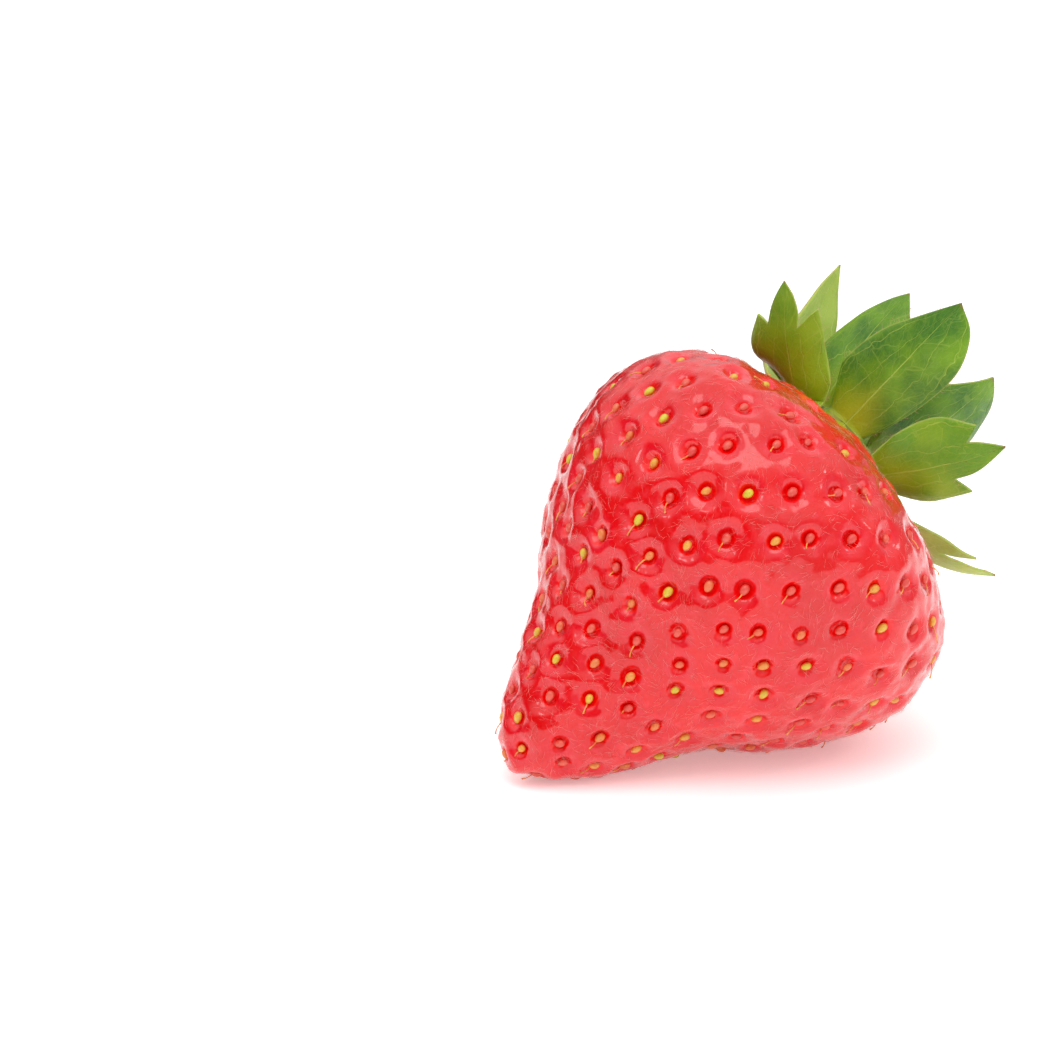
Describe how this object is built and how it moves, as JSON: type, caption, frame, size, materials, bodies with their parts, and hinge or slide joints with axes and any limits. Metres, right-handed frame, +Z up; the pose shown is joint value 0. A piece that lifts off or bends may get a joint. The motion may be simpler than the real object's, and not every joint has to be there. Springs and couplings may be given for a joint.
{
  "type": "strawberry",
  "caption": "Ripe red strawberry lying on its side, studded with small seeds in pits, with a green leafy calyx and a short cut stalk.",
  "frame": {"origin": "ground level under the middle of the part's bounding box", "axes": "+X level, from the fruit's tip towards its crown, along the lying fruit; +Z up"},
  "size_m": [0.0564, 0.0426, 0.0474],
  "materials": {
    "flesh": "moist glossy red skin over translucent flesh",
    "calyx": "matt yellow-green, finely hairy",
    "bract": "matt yellow-green leaf, finely hairy",
    "sepal": "satin mid-green leaf with pale veins"
  },
  "bodies": {
    "root": {"flesh": "flesh", "calyx_disc": "calyx", "stalk": "calyx", "bract_left": "bract", "bract_right": "bract", "bract_low": "bract", "bract_rear": "bract", "bract_top": "bract", "sepal_front": "sepal", "sepal_low": "sepal", "sepal_top": "sepal", "sepal_left": "sepal", "sepal_right": "sepal", "sepal_rear": "sepal"}
  },
  "joints": []
}
